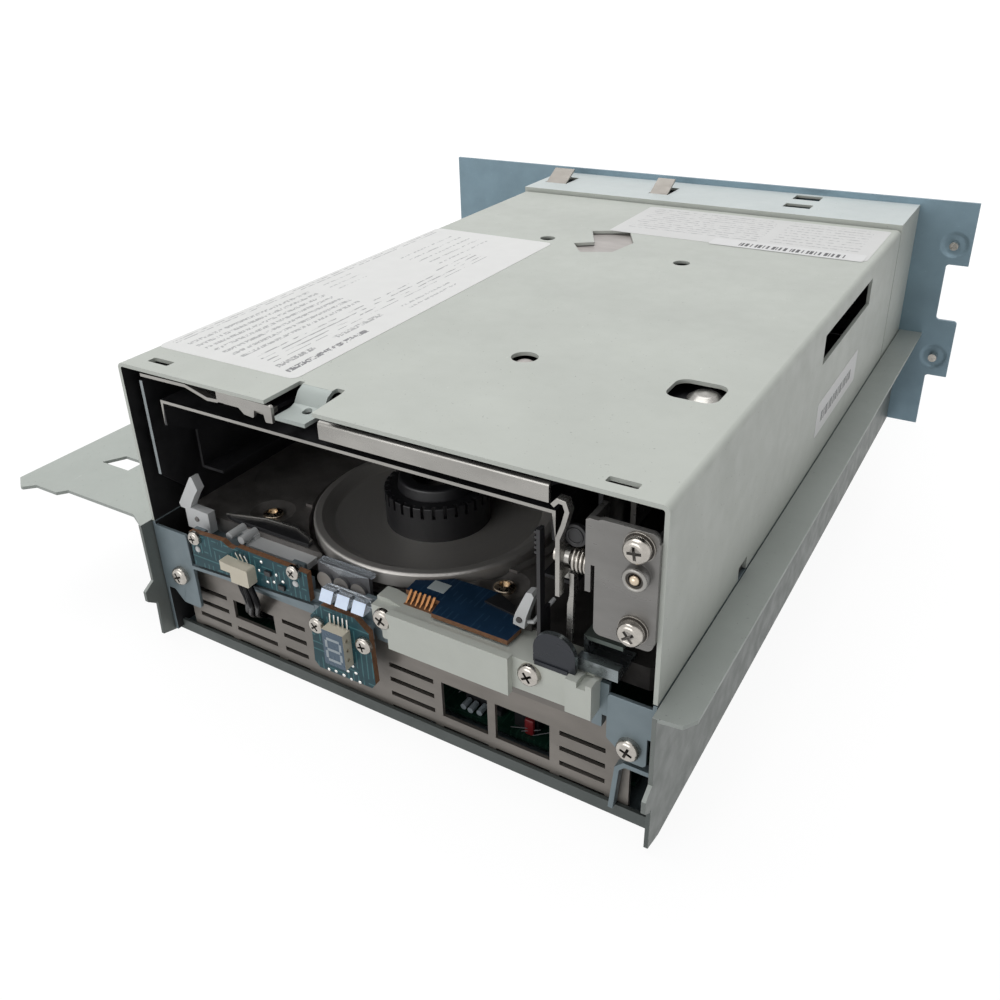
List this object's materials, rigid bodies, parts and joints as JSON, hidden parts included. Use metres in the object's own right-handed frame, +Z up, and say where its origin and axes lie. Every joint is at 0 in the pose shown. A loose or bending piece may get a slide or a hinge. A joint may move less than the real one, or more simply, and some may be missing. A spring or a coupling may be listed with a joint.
{
  "type": "data tape drive",
  "caption": "Full-height half-inch tape drive without a bezel, in its sheet-metal library carrier with a wide rear plate and two captive screws.",
  "frame": {"origin": "on the underside of the carrier floor, midway between its side walls, in the plane of the drive's front edge; it is the carrier_slide mount", "axes": "+X to the right seen from the cartridge mouth, +Y from the mouth to the rear plate, +Z up"},
  "size_m": [0.2195, 0.2604, 0.0894],
  "materials": {
    "zinc_sheet": "zinc plated",
    "cover_sheet": "matt",
    "nickel_sheet": "nickel plated",
    "nickel_screws": "bright",
    "brass_screws": "bright",
    "dark_sheet": "black",
    "black_plastic": "matt",
    "cast_deck": "cast",
    "rotor_metal": "turned",
    "black_gear": "moulded",
    "cream_plastic": "moulded",
    "white_plastic": "moulded",
    "reel_plastic": "moulded",
    "clear_plastic": "clear",
    "teal_board": "lacquered",
    "green_board": "lacquered",
    "blue_board": "lacquered",
    "chip_plastic": "moulded",
    "black_lead": "gloss",
    "port_metal": "plated"
  },
  "bodies": {
    "chassis": {"board_carrier": "zinc_sheet", "board_components": "chip_plastic", "carrier_tray": "zinc_sheet", "coil_spring": "nickel_screws", "contact_board": "blue_board", "cover_posts": "nickel_sheet", "deck_frame": "cast_deck", "deck_screws": "brass_screws", "display_board": "teal_board", "fan_frame": "black_plastic", "front_bracket": "cream_plastic", "front_rail": "zinc_sheet", "front_screws": "nickel_screws", "grille_plate": "nickel_sheet", "guide_bar": "black_plastic", "head_yoke": "cast_deck", "interface_board": "green_board", "light_pipes": "clear_plastic", "loader_motor": "rotor_metal", "loader_side_left": "nickel_sheet", "loader_side_right": "nickel_sheet", "lower_chassis": "zinc_sheet", "main_board": "green_board", "mouth_lip": "nickel_sheet", "pivot_pin": "nickel_sheet", "rail_tab": "dark_sheet", "rear_box": "cover_sheet", "rear_plate": "zinc_sheet", "rear_ports": "port_metal", "reel_motor_stator": "rotor_metal", "sensor_board": "teal_board", "sensor_cable": "black_lead", "sensor_connector": "cream_plastic", "seven_segment_block": "cream_plastic", "side_bracket": "nickel_sheet", "take_up_stator": "rotor_metal", "tape_path_posts": "rotor_metal", "top_cover": "cover_sheet", "upper_frame": "dark_sheet", "washer_screws": "nickel_screws", "wire_guide": "white_plastic"},
    "reel_drive": {"reel_rotor": "rotor_metal", "clutch_gear": "black_gear"},
    "take_up": {"take_up_reel": "reel_plastic"},
    "roller_1": {"guide_roller_1": "white_plastic"},
    "roller_2": {"guide_roller_2": "white_plastic"},
    "roller_3": {"guide_roller_3": "white_plastic"},
    "roller_4": {"guide_roller_4": "white_plastic"},
    "head": {"head_carriage": "cast_deck"},
    "threader": {"threader_arm": "white_plastic"},
    "cage": {"loader_cage": "dark_sheet"},
    "slider": {"cam_slider": "dark_sheet"},
    "gear": {"loader_gear": "white_plastic"},
    "pinion": {"loader_pinion": "white_plastic"},
    "latch": {"latch_lever": "nickel_sheet"},
    "sense_left": {"sense_lever_left": "white_plastic"},
    "sense_right": {"sense_lever_right": "white_plastic"},
    "screw_lower": {"captive_screw_lower": "nickel_screws"},
    "screw_upper": {"captive_screw_upper": "nickel_screws"},
    "fan": {"fan_rotor": "black_plastic"}
  },
  "joints": [
    {"name": "reel_spin", "type": "hinge", "parent": "chassis", "child": "reel_drive", "pos_m": [-0.006, 0.0395, 0.04], "axis": [0, 0, 1], "continuous": true},
    {"name": "take_up_spin", "type": "hinge", "parent": "chassis", "child": "take_up", "pos_m": [0.004, 0.155, 0.056], "axis": [0, 0, 1], "continuous": true},
    {"name": "roller_spin_1", "type": "hinge", "parent": "chassis", "child": "roller_1", "pos_m": [-0.046, 0.097, 0.056], "axis": [0, 0, 1], "continuous": true},
    {"name": "roller_spin_2", "type": "hinge", "parent": "chassis", "child": "roller_2", "pos_m": [-0.0575, 0.103, 0.056], "axis": [0, 0, 1], "continuous": true},
    {"name": "roller_spin_3", "type": "hinge", "parent": "chassis", "child": "roller_3", "pos_m": [-0.0575, 0.129, 0.056], "axis": [0, 0, 1], "continuous": true},
    {"name": "roller_spin_4", "type": "hinge", "parent": "chassis", "child": "roller_4", "pos_m": [-0.046, 0.136, 0.056], "axis": [0, 0, 1], "continuous": true},
    {"name": "head_lift", "type": "slide", "parent": "chassis", "child": "head", "axis": [0, 0, 1], "range_m": [-0.0025, 0.0025]},
    {"name": "threader_swing", "type": "hinge", "parent": "chassis", "child": "threader", "pos_m": [-0.0509, 0.1439, 0.0696], "axis": [0, 0, 1], "range_deg": [0, 102.6]},
    {"name": "cage_load", "type": "slide", "parent": "chassis", "child": "cage", "axis": [0, 0.8944, -0.4472], "range_m": [0, 0.0134]},
    {"name": "cam_slide", "type": "slide", "parent": "chassis", "child": "slider", "axis": [0, 1, 0], "range_m": [0, 0.02]},
    {"name": "loader_gear_turn", "type": "hinge", "parent": "chassis", "child": "gear", "pos_m": [0.0574, 0.088, 0.0502], "axis": [-1, 0, 0], "range_deg": [0, 119.5]},
    {"name": "loader_pinion_turn", "type": "hinge", "parent": "chassis", "child": "pinion", "pos_m": [0.0574, 0.10255, 0.0502], "axis": [1, 0, 0], "range_deg": [0, 239]},
    {"name": "latch_swing", "type": "hinge", "parent": "chassis", "child": "latch", "pos_m": [0.05, 0.0032, 0.0645], "axis": [1, 0, 0], "range_deg": [0, 8], "stiffness_Nm_per_rad": 0.02},
    {"name": "sense_left_swing", "type": "hinge", "parent": "chassis", "child": "sense_left", "pos_m": [-0.06, 0.0056, 0.0392], "axis": [0, 1, 0], "range_deg": [-10, 10], "stiffness_Nm_per_rad": 0.006},
    {"name": "sense_right_swing", "type": "hinge", "parent": "chassis", "child": "sense_right", "pos_m": [0.0389, 0.0056, 0.043], "axis": [0, 1, 0], "range_deg": [-10, 10], "stiffness_Nm_per_rad": 0.006},
    {"name": "screw_lower_press", "type": "slide", "parent": "chassis", "child": "screw_lower", "axis": [0, -1, 0], "range_m": [0, 0.004], "stiffness_N_per_m": 150},
    {"name": "screw_upper_press", "type": "slide", "parent": "chassis", "child": "screw_upper", "axis": [0, -1, 0], "range_m": [0, 0.004], "stiffness_N_per_m": 150},
    {"name": "fan_spin", "type": "hinge", "parent": "chassis", "child": "fan", "pos_m": [0.034, 0.23, 0.047], "axis": [0, 1, 0], "continuous": true}
  ],
  "couplings": [
    {"joint": "cam_slide", "follows": "cage_load", "ratio": 1.4925},
    {"joint": "loader_gear_turn", "follows": "cage_load", "rad_per_m": 155.47},
    {"joint": "loader_pinion_turn", "follows": "cage_load", "rad_per_m": 310.94}
  ]
}
